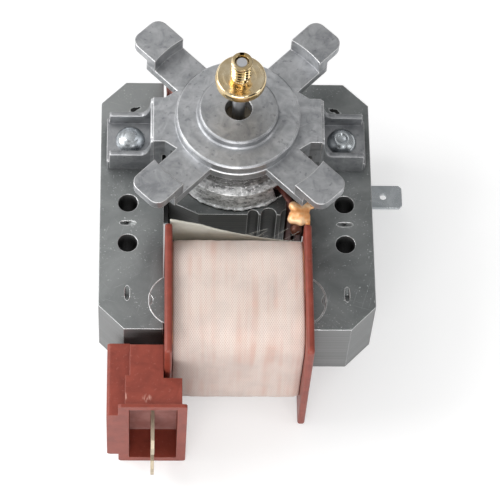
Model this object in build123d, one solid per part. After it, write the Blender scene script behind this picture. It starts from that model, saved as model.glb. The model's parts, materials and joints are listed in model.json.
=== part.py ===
from build123d import *
import math
import os

# Shaded-pole motor of a hot air fan, shaft up, in millimetres.
# Pieces are drawn with Z = 0 on the front face of the lamination stack and the shaft on the Z axis,
# X to the right and Y away from the coil. save() then moves them down by seat_height, so that the
# origin of every file is on the shaft axis in the face that the fan wheel seats on.

# Shared clearances
press_gap = 0.02          # between pieces that are pressed, staked or cast together
plastic_gap = 0.1         # between moulded pieces and what they slide over
air_gap = 0.35            # between rotor and bore
running_gap = 0.03        # between shaft and bearings
end_float = 0.3

# Lamination stack; places are given from the axis, and heights from the stack's front face
bore_radius = 12.75
pole_wall = 4.6           # beside the bore
yoke_wall = 5.45          # above and below the bore
side_width = 15.15        # beside the opening that the coil stands in
window_height = 30.4
stack_thickness = 20.0
window_width = 2 * (bore_radius + pole_wall)
window_top = bore_radius + yoke_wall
stack_width = window_width + 2 * side_width
stack_above_axis = bore_radius + yoke_wall
stack_below_axis = window_top + window_height
back = -stack_thickness
corner_chamfer = 6.0
relief_width = 1.35       # slit between leg and pole, beside the window
relief_height = 8.2
pole_corner = 7.0         # slope that trims the pole beside the slit
arch_insets = (13.35, 9.63, 5.2)            # scallops along the pole's lower edge
arch_radii = (1.3, 1.84, 1.55)
pocket_width = 5.45       # pocket for the shading ring's outer wires
pocket_height = 5.3
pocket_corner = 1.2
slot_opening = 0.8
hole_radius = 2.35
hole_inset = 6.7
hole_top = 15.3
hole_spacing = 10.75
hole_x = stack_width / 2 - hole_inset
stake_depth = 0.8         # V-shaped dents that lock the sheets together
stake_rise = 9.3
stake_long = 3.5
stake_short = 1.0

# Bar that closes the stack and carries the coil
core_width = 13.4
core_bite = 3.35          # into each side of the stack
core_inset = 0.85
core_dent_radius = 1.9   # hollow in the middle of each round end
core_dent_depth = 0.9
core_length = window_width + 2 * core_bite
core_y = -(stack_below_axis - core_inset - core_width / 2)

# Shading rings
wire_radius = 1.0
wire_bend = 1.4
inner_wire_angles = (-22.0, -46.0)
inner_wire_gap = 1.35     # from the bore to the wire's middle
outer_wire_insets = (1.65, 4.35)            # from the window's side
outer_wire_rises = (3.1, 2.9)
weld_inset = 2.55
weld_drop = 1.9
weld_height = 4.6
weld_spread = 1.5
weld_width = 5.6
weld_length = 5.9
weld_thickness = 3.8
weld_corner = 2.4
weld_round = 1.5

# Rotor
shaft_radius = 1.5
shaft_top = 5.9           # above the seat
shaft_chamfer = 0.3
bar_count = 17
bar_radius = 0.9
bar_inset = 0.55
ring_inset = 0.35
ring_height = 3.0
ring_width = 3.6
washer_thickness = 0.5
washer_radius = 3.0
sleeve_radius = 2.6
rotor_radius = bore_radius - air_gap
bar_circle = rotor_radius - bar_inset - bar_radius

# Bells of the two cast brackets, from the cage's end rings outwards
bell_rim_wall = 4.25
bell_wall = 1.85
shoulder_inset = 1.3
neck_inset = 3.1
collar_step = 1.1
ring_step = 0.25
bell_lift = 0.3
bell_rim_radius = bore_radius + bell_rim_wall
bell_inner_radius = bore_radius + bell_wall
bell_shoulder = bell_rim_radius - shoulder_inset
neck_radius = bell_rim_radius - neck_inset
collar_radius = neck_radius + collar_step
ring_radius = collar_radius - ring_step
boss_radius = 9.4
edge_round = 0.4
lead_hole_radius = 3.2
ring_gate_angle = -33.0   # middle of the gate that lets the shading ring out of the bell
ring_gate_width = 13.0
ring_gate_height = 4.2
leg_thickness = 2.4
front_space = 5.4         # between the cage and the roof of the cavity
front_roof_wall = 5.1
front_ring_rise = 2.75
front_boss_rise = 2.45
front_cavity = ring_height + front_space
front_plate = front_cavity + front_roof_wall              # height of legs and wings
front_ring = front_plate + front_ring_rise
front_boss = front_ring + front_boss_rise
rear_space = 1.1
rear_roof_wall = 3.3
rear_ring_rise = 1.2
rear_boss_rise = 1.8
rear_cavity = ring_height + rear_space
rear_plate = rear_cavity + rear_roof_wall
rear_ring = rear_plate + rear_ring_rise
rear_boss = rear_ring + rear_boss_rise
seat_rise = 14.6
seat_height = front_boss + seat_rise

# Bearings
bearing_radius = 4.2
bearing_half = 2.6
front_bearing_rise = 4.2
rear_bearing_rise = 1.6
front_bearing_place = front_cavity + front_bearing_rise
rear_bearing_depth = rear_cavity + rear_bearing_rise      # behind the stack
felt_gap = 0.1
felt_height = 2.2
felt_width = 2.8
felt_roof = bearing_half * 0.3                            # above the bearing's middle
pocket_radius = bearing_radius + felt_width
spring_thickness = 0.5
spring_rim = 0.9
spring_bite = bearing_radius * 0.93

# Wings and feet of the brackets
rivet_inset = 7.1
rivet_x = stack_width / 2 - rivet_inset
rivet_room = 4.5          # radius that the ribs leave free round a rivet
arm_width = 12.0
wing_reach = 5.0          # past the collar
wing_wall = 2.2
skirt_gap = 7.0
flare_start = 2.8         # where the wing widens towards the legs
flare_run = 2.6
flare_width = 1.8
step_x = collar_radius + wing_reach
foot_inset = 1.5
foot_end = stack_width / 2 - foot_inset
foot_floor = 3.5
rib_height = 3.3
rib_width = 1.3
rib_inset = 0.6
rib_low = 1.6
rib_lead = 2.0
rib_round = 0.5
rib_step = rivet_x - rib_lead

# Legs and pads of the front bracket
leg_width = 9.5
leg_angle = 45.5          # from the line through the rivets
pad_gap = 8.7
pad_length = 8.0
pad_rise = 4.05
pad_width = 9.4
pad_corner = 2.6
pad_inner = collar_radius + pad_gap
pad_outer = pad_inner + pad_length
leg_end = pad_inner + leg_thickness

# Rivets and earth tab
rivet_radius = 1.9
rivet_play = 0.1
head_radius = 3.6
head_edge = 0.7
head_top_radius = 1.5
head_height = 2.3
tail_radius = 3.3
tail_height = 1.5
earth_lap = 4.0
earth_reach = 10.0
earth_inner = rivet_x - earth_lap
earth_end = stack_width / 2 + earth_reach

# Brass hub
hub_flange_radius = 5.9
hub_flange_thickness = 2.5
hub_collar_radius = 2.5
hub_collar_height = 6.3
hub_chamfer = 0.5
hub_slot_width = 0.8
hub_slot_depth = 0.6

# Coil former, winding, tape and the film beside them
former_play = 0.25
flange_thickness = 1.75
flange_above = 15.1       # from the bar's centre line
flange_below = 18.3
flange_corner = 1.0
flange_reach = rear_boss  # past the stack, so that the motor rests flat on former and boss
flange_height = stack_thickness + 2 * flange_reach
flange_outside = window_width / 2 - former_play
flange_inside = flange_outside - flange_thickness
flange_low_y = core_y - flange_below
tube_wall = 1.2
winding_build = 6.4
tape_thickness = 0.4
winding_start = plastic_gap + tube_wall + press_gap
tape_start = winding_start + winding_build + press_gap
film_thickness = 0.3
film_gap = 0.05
film_left_rise = 11.4     # above the stack's front face
film_right_rise = 0.3
film_sag = 1.15
film_inset = 1.2          # from the former's outer faces
film_lap = 4.0

# Terminal housing and its tabs; the housing is clipped to the former's left flange
top_gap = 4.0             # below the stack
shelf_gap = 1.75          # below the former
shelf_height = 7.7
block_width = 7.8
shelf_reach = 4.2
ear_width = 5.3
ear_rise = 2.1
ear_front = 4.0
ear_rear = 3.4
rim_left_width = 2.6
rim_right_width = 1.2
rim_overhang = 0.6
rim_thickness = 0.9
mouth_left_wall = 2.5
mouth_right_wall = 2.2
mouth_front = 1.0
mouth_rear = 1.3
mouth_floor_wall = 0.2
mouth_wall = 0.9
wall_corner = 0.8
housing_top = -stack_below_axis - top_gap
housing_shelf = flange_low_y - shelf_gap
housing_foot = housing_shelf - shelf_height
housing_left = flange_outside + plastic_gap + block_width
housing_shelf_side = flange_outside - shelf_reach
housing_depth = stack_thickness + flange_reach - rim_overhang
rim_left = housing_left + rim_left_width
rim_right = housing_shelf_side - rim_right_width
mouth_left = rim_left - mouth_left_wall
mouth_right = rim_right + mouth_right_wall
mouth_height = housing_depth - mouth_front - mouth_rear
mouth_floor = housing_shelf - mouth_floor_wall
peg_radius = 1.2
peg_inset = 2.3           # from the former's lower edge
peg_depth = 1.7
peg_y = flange_low_y + peg_inset
peg_heights = (back * 0.25, back)
tab_width = 6.3
tab_thickness = 0.8
tab_pitch = 12.0
tab_aside = 0.1
tab_drop = 2.1
tab_reach = 6.1           # past the rim
tab_root = 4.5
tab_hole = 0.85
tab_hole_inset = 4.7
tab_chamfer = 1.5
tab_x = (mouth_left + mouth_right) / 2 + tab_aside
tab_front = mouth_front + (mouth_height - tab_pitch - tab_width) / 2 + tab_drop


def save(name, shape):
    export_step(Pos(0, 0, -seat_height) * shape, f"parts/{name}.step")


def plate(sketch, low, high):
    """A flat piece: the sketch, drawn in plan, between two heights."""
    return extrude(Pos(0, 0, low) * sketch, high - low)


def block(x0, x1, y0, y1, z0, z1):
    return Pos((x0 + x1) / 2, (y0 + y1) / 2, (z0 + z1) / 2) * Box(abs(x1 - x0), abs(y1 - y0), abs(z1 - z0))


def post(x, y, radius, low, high):
    return Pos(x, y, (low + high) / 2) * Cylinder(radius, high - low)


def turned(points):
    """A turned piece from its half section, given as (radius, height) points."""
    section = make_face(Plane.XZ * Polyline(*points, close=True))
    return revolve(section, Axis.Z)


def wire_place(angle):
    turn = math.radians(angle)
    reach = bore_radius + inner_wire_gap
    return reach * math.cos(turn), reach * math.sin(turn)


def weld_place():
    return window_width / 2 - weld_inset, -window_top - weld_drop


# Stack

def ring_cuts():
    """Plan of what one shading ring and the scallops beside it take out of the pole."""
    half = window_width / 2
    cuts = Pos(half - pocket_width / 2, -window_top + pocket_height / 2) * Rectangle(pocket_width, pocket_height)
    cuts = fillet(cuts.vertices().group_by(Axis.Y)[-1], pocket_corner)
    for inset, radius in zip(arch_insets, arch_radii):
        cuts += Pos(half - inset, -window_top) * Circle(radius)
    for angle in inner_wire_angles:
        x, y = wire_place(angle)
        cuts += Pos(x, y) * Circle(wire_radius + press_gap)
        slit = Pos(bore_radius / 2, 0) * Rectangle(bore_radius + 2 * inner_wire_gap, slot_opening)
        cuts += Rot(0, 0, angle) * slit
    return cuts


def stake():
    """The dent of one sheet lock, deepest in the middle of its length."""
    half = stake_long / 2
    section = make_face(
        Plane.XZ
        * Polyline((-half, 0), (-half, stake_depth), (half, stake_depth), (half, 0), (0, -stake_depth), close=True)
    )
    return extrude(section, stake_short / 2, both=True)


def stator_frame():
    height = stack_above_axis + stack_below_axis
    middle = (stack_above_axis - stack_below_axis) / 2
    outline = Pos(0, middle) * Rectangle(stack_width, height)
    outline = chamfer(outline.vertices(), corner_chamfer)
    half = window_width / 2
    outline -= Pos(0, -(window_top + stack_below_axis) / 2) * Rectangle(window_width, stack_below_axis - window_top)
    outline -= Circle(bore_radius)
    slit = Pos(-half + relief_width / 2, -window_top + relief_height / 2) * Rectangle(relief_width, relief_height)
    corner_x = -half + relief_width
    trim = make_face(
        Polyline(
            (corner_x, -window_top - 1),
            (corner_x, -window_top + pole_corner / 2),
            (corner_x + pole_corner, -window_top),
            (corner_x + pole_corner, -window_top - 1),
            close=True,
        )
    )
    outline -= slit + trim
    outline -= ring_cuts()
    outline -= Rot(0, 0, 180) * ring_cuts()
    socket = core_width / 2 + press_gap
    for side in (-1, 1):
        outline -= Pos(side * (core_length - core_width) / 2, core_y) * Circle(socket)
        outline -= Pos(side * rivet_x, 0) * Circle(rivet_radius + rivet_play)
        for step in (0, 1):
            outline -= Pos(side * hole_x, -hole_top - step * hole_spacing) * Circle(hole_radius)
    stack = plate(outline, back, 0)
    for side in (-1, 1):
        between = -hole_top - hole_spacing / 2
        stack -= Pos(side * hole_x, between) * stake()
        stack -= Pos(side * hole_x, -stack_below_axis + stake_rise) * Rot(0, 0, 90) * stake()
    return stack


def coil_core():
    bar = SlotOverall(core_length, core_width)
    dent_x = core_length / 2 - core_dent_depth + core_dent_radius
    for side in (-1, 1):
        bar -= Pos(side * dent_x, 0) * Circle(core_dent_radius)
    return plate(Pos(0, core_y) * bar, back, 0)


# Coil

def side_plane():
    """Plane across the bar: its X is the part's Y, its Y the part's Z."""
    return Plane(origin=(0, core_y, back / 2), x_dir=(0, 1, 0), z_dir=(1, 0, 0))


def coil_sleeve(start, wall, half_length):
    """A sleeve round the bar with evenly rounded corners, from its distance to the bar and its wall."""
    layers = []
    for out in (start, start + wall):
        layers.append(RectangleRounded(core_width + 2 * out, stack_thickness + 2 * out, out))
    return extrude(side_plane() * (layers[1] - layers[0]), half_length, both=True)


def coil_former():
    size_y = flange_above + flange_below
    flange = Pos((flange_above - flange_below) / 2, 0) * RectangleRounded(size_y, flange_height, flange_corner)
    window = RectangleRounded(core_width + 2 * plastic_gap, stack_thickness + 2 * plastic_gap, plastic_gap)
    body = coil_sleeve(plastic_gap, tube_wall, flange_outside)
    for side in (-1, 1):
        cheek = extrude(side_plane() * (flange - window), flange_thickness)
        start = flange_inside if side > 0 else -flange_outside
        body += Pos(start, 0, 0) * cheek
    for height in peg_heights:
        hole = Rot(0, 90, 0) * Cylinder(peg_radius + plastic_gap / 2, 2 * flange_thickness)
        body -= Pos(-flange_outside, peg_y, height) * hole
    return body


def coil_winding():
    return coil_sleeve(winding_start, winding_build, flange_inside - plastic_gap)


def coil_tape():
    return coil_sleeve(tape_start, tape_thickness, flange_inside - plastic_gap)


def insulation_film():
    side = flange_outside - film_inset
    low = back - film_lap
    middle = (film_left_rise + film_right_rise) / 2 - film_sag
    outline = make_face(
        Line((-side, low), (-side, film_left_rise))
        + ThreePointArc((-side, film_left_rise), (0, middle), (side, film_right_rise))
        + Line((side, film_right_rise), (side, low))
        + Line((side, low), (-side, low))
    )
    face_y = core_y + flange_above + film_gap
    return extrude(Plane(origin=(0, face_y, 0), x_dir=(1, 0, 0), z_dir=(0, -1, 0)) * outline, -film_thickness)


# Terminals

def terminal_housing():
    near = flange_outside + plastic_gap
    body = block(-housing_left, -near, housing_foot, housing_top, -housing_depth, 0)
    body += block(-housing_left, -housing_shelf_side, housing_foot, housing_shelf, -housing_depth, 0)
    ear_side = housing_left + ear_width
    ear_low = -housing_depth + ear_rear
    ear = block(-ear_side, -housing_left, housing_foot, housing_top + ear_rise, ear_low, -ear_front)
    ear = fillet(ear.edges().filter_by(Axis.Y).group_by(Axis.X)[0], wall_corner)
    body += ear
    rim_low = -housing_depth - rim_overhang
    rim = block(-rim_left, -rim_right, housing_foot, housing_foot + rim_thickness, rim_low, rim_overhang)
    rim = fillet(rim.edges().filter_by(Axis.Y), wall_corner)
    body += rim
    body += block(-mouth_left - mouth_wall, -housing_left, housing_foot, mouth_floor + mouth_wall, -housing_depth, 0)
    mouth_low = -mouth_front - mouth_height
    mouth = block(-mouth_left, -mouth_right, housing_foot, mouth_floor, mouth_low, -mouth_front)
    body -= mouth
    for number in (0, 1):
        body -= tab_blank(number, press_gap)
    for height in peg_heights:
        peg = Rot(0, 90, 0) * Cylinder(peg_radius, peg_depth + plastic_gap)
        body += Pos(-near + (peg_depth + plastic_gap) / 2, peg_y, height) * peg
    return body


def tab_blank(number, grow):
    """The plain blade of a terminal tab, with room all round it for its slot."""
    top = -tab_front - number * tab_pitch
    half = tab_thickness / 2
    return block(
        -tab_x - half - grow,
        -tab_x + half + grow,
        housing_foot - tab_reach,
        mouth_floor + tab_root + grow,
        top - tab_width - grow,
        top + grow,
    )


def terminal_tab(number):
    blade = tab_blank(number, 0)
    tip = blade.edges().filter_by(Axis.X).group_by(Axis.Y)[0]
    blade = chamfer(tip, tab_chamfer)
    middle = -tab_front - number * tab_pitch - tab_width / 2
    hole_y = housing_foot - tab_reach + tab_hole_inset
    hole = Rot(0, 90, 0) * Cylinder(tab_hole, 2 * tab_thickness)
    return blade - Pos(-tab_x, hole_y, middle) * hole


# Brackets, drawn standing on the stack's front face

def socket_cut(place, floor):
    """Room for one bearing: a cylinder to slip it in by and a ball seat that ends on a flat floor."""
    ball = Pos(0, 0, place) * Sphere(bearing_radius + press_gap)
    ball &= block(-bearing_radius * 2, bearing_radius * 2, -bearing_radius * 2, bearing_radius * 2, 0, floor)
    return ball


def arm_pair(plate_height, wall):
    """Both wings and feet: hollow wings that step down to channel-shaped feet."""
    pair = None
    half = arm_width / 2
    for side in (-1, 1):
        skirt = min(skirt_gap, plate_height - wall)
        root = neck_radius - wall
        wing = block(root, step_x, -half, half, 0, plate_height)
        flare_x = step_x - flare_start
        wide = half + flare_width
        flare = make_face(
            Polyline(
                (flare_x, half),
                (flare_x - flare_run, wide),
                (root, wide),
                (root, -wide),
                (flare_x - flare_run, -wide),
                (flare_x, -half),
                close=True,
            )
        )
        wing += plate(flare, skirt, plate_height)
        wing -= block(0, step_x - wall, -half + wall, half - wall, 0, plate_height - wall)
        wing -= block(0, step_x - wall, -half, half, 0, skirt)
        foot = block(step_x - wall, foot_end, -half, half, 0, foot_floor)
        foot = fillet(foot.edges().filter_by(Axis.Z).group_by(Axis.X)[-1], rib_round)
        for edge in (-1, 1):
            outer = edge * half
            inner = edge * (half - rib_width)
            top = foot_floor + rib_height
            rib = block(rib_step, foot_end - rib_inset, inner, outer, 0, top)
            ends = rib.edges().group_by(Axis.X)
            rib = fillet(rib.edges().group_by(Axis.Z)[-1] + ends[-1].filter_by(Axis.Z), rib_round)
            low_rib = block(step_x - wall, rib_step + rib_round, inner, outer, 0, foot_floor + rib_low)
            low_rib = fillet(low_rib.edges().group_by(Axis.Z)[-1].filter_by(Axis.X), rib_round)
            foot += rib
            foot += low_rib
        foot -= post(rivet_x, 0, rivet_room, foot_floor, foot_floor + 2 * rib_height)
        foot -= post(rivet_x, 0, rivet_radius + rivet_play, -1, foot_floor + 1)
        arm = wing + foot
        arm = arm if side > 0 else Rot(0, 0, 180) * arm
        pair = arm if pair is None else pair + arm
    return pair


def bell(plate_height, ring_height_, boss_height, cavity_height, bearing_place, floor, through):
    """Turned body of a bracket: rough bell, collar, ring and boss, hollow for rotor and bearing."""
    neck_low = bell_lift + (plate_height - leg_thickness - bell_lift) * 0.5
    outside = turned(
        [
            (0, bell_lift),
            (bell_rim_radius, bell_lift),
            (bell_shoulder, bell_lift + (neck_low - bell_lift) * 0.8),
            (neck_radius, neck_low),
            (neck_radius, plate_height - leg_thickness),
            (collar_radius, plate_height - leg_thickness),
            (collar_radius, plate_height),
            (ring_radius, plate_height),
            (ring_radius, ring_height_ - edge_round),
            (ring_radius - edge_round, ring_height_),
            (boss_radius + edge_round, ring_height_),
            (boss_radius, ring_height_ + edge_round),
            (boss_radius, boss_height - edge_round),
            (boss_radius - edge_round, boss_height),
            (0, boss_height),
        ]
    )
    inside = turned(
        [
            (0, 0),
            (bell_inner_radius, 0),
            (rotor_radius, cavity_height),
            (pocket_radius, cavity_height),
            (pocket_radius, bearing_place + felt_roof),
            (0, bearing_place + felt_roof),
        ]
    )
    cut = inside + socket_cut(bearing_place, floor)
    if through:
        cut += post(0, 0, lead_hole_radius, 0, boss_height + 1)
    return outside, cut


def ring_gates():
    """Openings low in the bell, where the shading rings cross its rim."""
    reach = bell_rim_radius + 3
    gates = None
    for turn in (0, 180):
        gate = block(boss_radius, reach, -ring_gate_width / 2, ring_gate_width / 2, 0, ring_gate_height)
        gate = Rot(0, 0, ring_gate_angle + turn) * gate
        gates = gate if gates is None else gates + gate
    return gates


def leg(angle):
    """One leg: a strip out from the collar, a riser and the raised pad with its arc-shaped step."""
    half = leg_width / 2
    low = front_plate - leg_thickness
    strip = block(neck_radius - leg_thickness, leg_end, -half, half, low, front_plate)
    pad_top = front_plate + pad_rise
    pad = Pos((pad_inner + pad_outer) / 2 - leg_thickness, 0) * Rectangle(
        pad_outer - pad_inner + 2 * leg_thickness, pad_width
    )
    pad = fillet(pad.vertices().group_by(Axis.X)[-1], pad_corner)
    raised = plate(pad, pad_top - leg_thickness, pad_top)
    riser = block(pad_inner - leg_thickness, leg_end, -pad_width / 2, pad_width / 2, low, pad_top)
    raised = raised + riser
    raised -= post(0, 0, pad_inner, low - 1, pad_top + 1)
    return Rot(0, 0, angle) * (strip + raised)


def front_bracket():
    outside, cut = bell(
        front_plate, front_ring, front_boss, front_cavity, front_bearing_place, front_boss, True
    )
    body = outside + arm_pair(front_plate, wing_wall)
    for angle in (leg_angle, 180 - leg_angle, 180 + leg_angle, -leg_angle):
        body += leg(angle)
    return body - cut - ring_gates()


def rear_bracket():
    floor = rear_bearing_depth + bearing_half + end_float + press_gap
    outside, cut = bell(rear_plate, rear_ring, rear_boss, rear_cavity, rear_bearing_depth, floor, False)
    body = outside + arm_pair(rear_plate, wing_wall)
    body = body - cut - Rot(0, 0, 2 * -ring_gate_angle) * ring_gates()
    return Pos(0, 0, back) * Rot(180, 0, 0) * body


# Bearings: sintered balls, oiled felt rings and spring discs

def bearing():
    ball = Sphere(bearing_radius)
    ball &= Cylinder(bearing_radius, 2 * bearing_half)
    return ball - Cylinder(shaft_radius + running_gap, 4 * bearing_half)


def felt_ring(cavity_roof):
    """Oiled felt round the bearing's inner half, below the roof of the pocket."""
    ring = Cylinder(pocket_radius - felt_gap, felt_height) - Cylinder(bearing_radius + felt_gap, 2 * felt_height)
    return Pos(0, 0, cavity_roof - felt_height / 2 - felt_gap) * ring


def spring_disc(cavity_roof):
    """Dished steel disc pressed into the pocket, whose inner edge holds the ball."""
    top = cavity_roof - felt_height - 2 * felt_gap
    rim = pocket_radius - press_gap
    inner = spring_bite
    return turned(
        [
            (rim, top - spring_thickness),
            (rim, top),
            (rim - spring_rim, top),
            (inner, top - spring_thickness),
            (inner, top - 2 * spring_thickness),
            (rim - spring_rim, top - spring_thickness),
        ]
    )


# Rivets and earth tab

def rivet(side, tab_under):
    top = foot_floor
    bottom = back - foot_floor - (tab_thickness if tab_under else 0)
    head = turned(
        [
            (0, top),
            (head_radius, top),
            (head_radius, top + head_edge),
            (head_top_radius, top + head_height),
            (0, top + head_height),
        ]
    )
    shank = post(0, 0, rivet_radius, bottom, top)
    tail = turned(
        [
            (0, bottom),
            (tail_radius, bottom),
            (tail_radius, bottom - tail_height / 2),
            (tail_radius - tail_height / 2, bottom - tail_height),
            (0, bottom - tail_height),
        ]
    )
    return Pos(side * rivet_x, 0, 0) * (head + shank + tail)


def earth_tab():
    outline = Pos((earth_inner + earth_end) / 2, 0) * Rectangle(earth_end - earth_inner, tab_width)
    outline = chamfer(outline.vertices().group_by(Axis.X)[-1], tab_chamfer / 2)
    outline -= Pos(rivet_x, 0) * Circle(rivet_radius + rivet_play)
    outline -= Pos(earth_end - tab_hole_inset, 0) * Circle(tab_hole)
    top = back - foot_floor
    return plate(outline, top - tab_thickness, top)


# Shading rings

def wire_loop(number):
    """One loop of a shading ring: down by the bore, across the back, up the pocket, both ends to the weld."""
    inner_x, inner_y = wire_place(inner_wire_angles[number])
    outer_x = window_width / 2 - outer_wire_insets[number]
    outer_y = -window_top + outer_wire_rises[number]
    side = 1 if number == 0 else -1
    front = wire_radius + press_gap
    rear = back - wire_bend - press_gap
    weld_x, weld_y = weld_place()
    high = weld_height
    route = FilletPolyline(
        (weld_x + side * weld_spread, weld_y + weld_spread, high),
        (inner_x, inner_y, front + wire_radius),
        (inner_x, inner_y, rear),
        (outer_x, outer_y, rear),
        (outer_x, outer_y, front),
        (weld_x + side * weld_spread, weld_y - weld_spread, high - wire_radius),
        radius=wire_bend,
    )
    start = Plane(origin=route @ 0, z_dir=route % 0)
    return sweep(start * Circle(wire_radius), path=route)


def shading_ring(turn):
    """Two wire loops whose four ends run together in one lump of weld."""
    lump = extrude(RectangleRounded(weld_width, weld_length, weld_corner), weld_thickness / 2, both=True)
    rims = lump.edges().group_by(Axis.Z)
    lump = fillet(rims[0] + rims[-1], weld_round)
    ring = Pos(*weld_place(), weld_height - wire_radius / 2) * lump
    ring += wire_loop(0)
    ring += wire_loop(1)
    return Rot(0, 0, turn) * ring


# Rotor

def rotor_core():
    outline = Circle(rotor_radius) - Circle(shaft_radius + press_gap)
    for number in range(bar_count):
        turn = 2 * math.pi * number / bar_count
        outline -= Pos(bar_circle * math.cos(turn), bar_circle * math.sin(turn)) * Circle(bar_radius + press_gap)
    return plate(outline, back, 0)


def rotor_cage():
    outer = rotor_radius - ring_inset
    ring = Circle(outer) - Circle(outer - ring_width)
    cage = plate(ring, press_gap, ring_height) + plate(ring, back - ring_height, back - press_gap)
    for number in range(bar_count):
        turn = 2 * math.pi * number / bar_count
        x, y = bar_circle * math.cos(turn), bar_circle * math.sin(turn)
        cage += post(x, y, bar_radius, back - ring_height / 2, ring_height / 2)
    return cage


def shaft():
    bottom = back - rear_bearing_depth - bearing_half - end_float / 2
    rod = post(0, 0, shaft_radius, bottom, seat_height + shaft_top)
    return chamfer(rod.edges().filter_by(GeomType.CIRCLE), shaft_chamfer)


def washer(low, high, radius):
    return post(0, 0, radius, low, high) - post(0, 0, shaft_radius + press_gap, low - 1, high + 1)


def brass_hub():
    seat = seat_height
    low = seat - hub_flange_thickness
    bore = shaft_radius + press_gap
    top = seat + hub_collar_height
    hub = turned(
        [
            (bore, low),
            (hub_flange_radius - 2 * hub_chamfer, low),
            (hub_flange_radius, low + 2 * hub_chamfer),
            (hub_flange_radius, seat - hub_chamfer / 2),
            (hub_flange_radius - hub_chamfer / 2, seat),
            (hub_collar_radius, seat),
            (hub_collar_radius, top - hub_chamfer),
            (hub_collar_radius - hub_chamfer, top),
            (bore, top),
        ]
    )
    half = hub_slot_width / 2
    return hub - block(-half, half, 0, hub_flange_radius, top - hub_slot_depth, top + 1)


os.makedirs("parts", exist_ok=True)

front_roof = front_bearing_place + felt_roof
rear_roof = rear_bearing_depth + felt_roof
turn_over = Pos(0, 0, back) * Rot(180, 0, 0)
front_washer_high = front_bearing_place - bearing_half - end_float / 2
rear_washer_low = back - rear_bearing_depth + bearing_half + end_float / 2

save("stator_frame", stator_frame())
save("coil_core", coil_core())
save("coil_former", coil_former())
save("coil_winding", coil_winding())
save("coil_tape", coil_tape())
save("insulation_film", insulation_film())
save("terminal_housing", terminal_housing())
save("terminal_tab_front", terminal_tab(0))
save("terminal_tab_rear", terminal_tab(1))
save("shading_ring_right", shading_ring(0))
save("shading_ring_left", shading_ring(180))
save("front_bracket", front_bracket())
save("rear_bracket", rear_bracket())
save("front_bearing", Pos(0, 0, front_bearing_place) * bearing())
save("rear_bearing", turn_over * Pos(0, 0, rear_bearing_depth) * bearing())
save("front_felt", felt_ring(front_roof))
save("rear_felt", turn_over * felt_ring(rear_roof))
save("front_spring", spring_disc(front_roof))
save("rear_spring", turn_over * spring_disc(rear_roof))
save("rivet_left", rivet(-1, False))
save("rivet_right", rivet(1, True))
save("earth_tab", earth_tab())
save("shaft", shaft())
save("rotor_core", rotor_core())
save("rotor_cage", rotor_cage())
save("front_sleeve", washer(0, front_washer_high - washer_thickness, sleeve_radius))
save("front_thrust_washer", washer(front_washer_high - washer_thickness, front_washer_high, washer_radius))
save("rear_sleeve", washer(rear_washer_low + washer_thickness, back, sleeve_radius))
save("rear_thrust_washer", washer(rear_washer_low, rear_washer_low + washer_thickness, washer_radius))
save("brass_hub", brass_hub())
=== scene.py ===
import bmesh
import bpy
import json
import math
import random
from mathutils import Matrix, Vector, noise


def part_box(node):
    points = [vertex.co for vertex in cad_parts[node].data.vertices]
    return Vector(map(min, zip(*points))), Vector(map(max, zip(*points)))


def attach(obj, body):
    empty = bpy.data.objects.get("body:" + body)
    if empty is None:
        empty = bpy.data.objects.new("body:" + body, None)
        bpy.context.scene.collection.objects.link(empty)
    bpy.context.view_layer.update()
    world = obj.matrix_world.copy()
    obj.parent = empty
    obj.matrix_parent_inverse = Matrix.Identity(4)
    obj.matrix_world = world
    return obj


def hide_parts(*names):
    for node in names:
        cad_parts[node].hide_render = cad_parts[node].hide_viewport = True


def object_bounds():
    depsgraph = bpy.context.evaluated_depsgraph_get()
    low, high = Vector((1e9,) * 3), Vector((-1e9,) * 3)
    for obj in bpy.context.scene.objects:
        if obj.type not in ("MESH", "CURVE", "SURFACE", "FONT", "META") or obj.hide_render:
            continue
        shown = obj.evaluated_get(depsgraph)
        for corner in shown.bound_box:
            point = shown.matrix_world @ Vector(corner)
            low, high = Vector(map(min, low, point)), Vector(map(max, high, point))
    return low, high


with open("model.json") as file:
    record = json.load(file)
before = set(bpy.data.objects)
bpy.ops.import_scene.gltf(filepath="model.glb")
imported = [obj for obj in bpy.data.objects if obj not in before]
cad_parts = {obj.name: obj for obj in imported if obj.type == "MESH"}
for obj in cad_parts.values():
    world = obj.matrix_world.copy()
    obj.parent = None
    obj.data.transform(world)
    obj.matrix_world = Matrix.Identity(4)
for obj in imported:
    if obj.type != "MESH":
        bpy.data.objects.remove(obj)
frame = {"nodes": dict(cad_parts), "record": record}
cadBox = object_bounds()
mm = 0.001
seatHeight = 33.3                # the hub's seat above the stack's front face
stackFront = -seatHeight * mm
print("frame loaded,", len(frame["nodes"]), "nodes")


# Node tree helpers

def fill(tree, node, sockets):       # an output is linked, a plain value is set
    for key, value in sockets.items():
        socket = node.inputs[key]
        if isinstance(value, bpy.types.NodeSocket):
            tree.links.new(value, socket)
        elif isinstance(value, tuple) and socket.type == "RGBA":
            socket.default_value = (*value[:3], 1)
        else:
            socket.default_value = value

def addNode(tree, kind, sockets=None, **values):
    node = tree.nodes.new("ShaderNode" + kind)
    for key, value in values.items():
        setattr(node, key, value)
    fill(tree, node, sockets or {})
    return node

def newGroup(name, inputs, outputs):
    group = bpy.data.node_groups.new(name, "ShaderNodeTree")
    for label, value in inputs.items():
        group.interface.new_socket(name=label, in_out="INPUT", socket_type="NodeSocketFloat").default_value = value
    for label in outputs:
        kind = "NodeSocketVector" if label == "Normal" else "NodeSocketFloat"
        group.interface.new_socket(name=label, in_out="OUTPUT", socket_type=kind)
    return group, group.nodes.new("NodeGroupInput").outputs, group.nodes.new("NodeGroupOutput")


def mathNode(tree, operation, *values, clamp=False):
    return addNode(tree, "Math", dict(enumerate(values)), operation=operation, use_clamp=clamp).outputs[0]

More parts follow.
